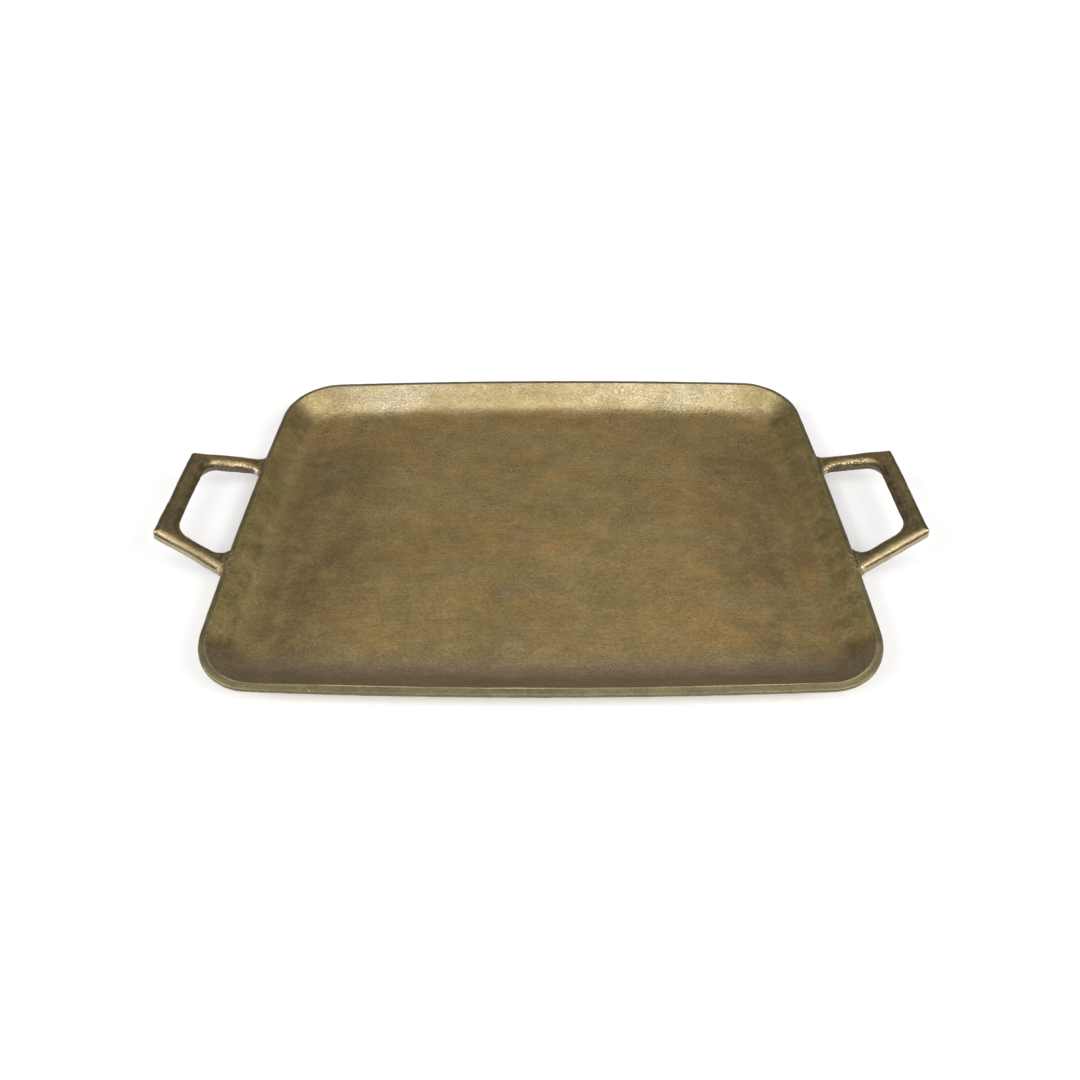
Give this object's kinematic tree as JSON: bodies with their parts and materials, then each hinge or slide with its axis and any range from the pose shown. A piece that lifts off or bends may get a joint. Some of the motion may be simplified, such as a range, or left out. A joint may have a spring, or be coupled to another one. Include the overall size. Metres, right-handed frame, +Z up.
{
  "type": "serving tray",
  "caption": "Shallow rectangular brass serving tray with bowed sides, rounded corners, a coved well and raised angular grip handles brazed to its short ends.",
  "frame": {"origin": "on the table plane under the middle of the base, the centre of the bounding box in X and Y", "axes": "+X from the left handle to the right handle, +Y across the tray to its far long side, +Z up out of the well"},
  "size_m": [0.47, 0.267, 0.0353],
  "materials": {
    "pan_brass": "antique brushed brass, mottled olive brown, cast grain in the cove",
    "handle_brass": "antique brass, dull top with hand-polished edges",
    "joint_braze": "rough unpolished braze, slightly pinker than the bar"
  },
  "bodies": {
    "root": {"tray_pan": "pan_brass", "handle_left": "handle_brass", "handle_right": "handle_brass", "joint_left_front": "joint_braze", "joint_left_rear": "joint_braze", "joint_right_front": "joint_braze", "joint_right_rear": "joint_braze"}
  },
  "joints": []
}
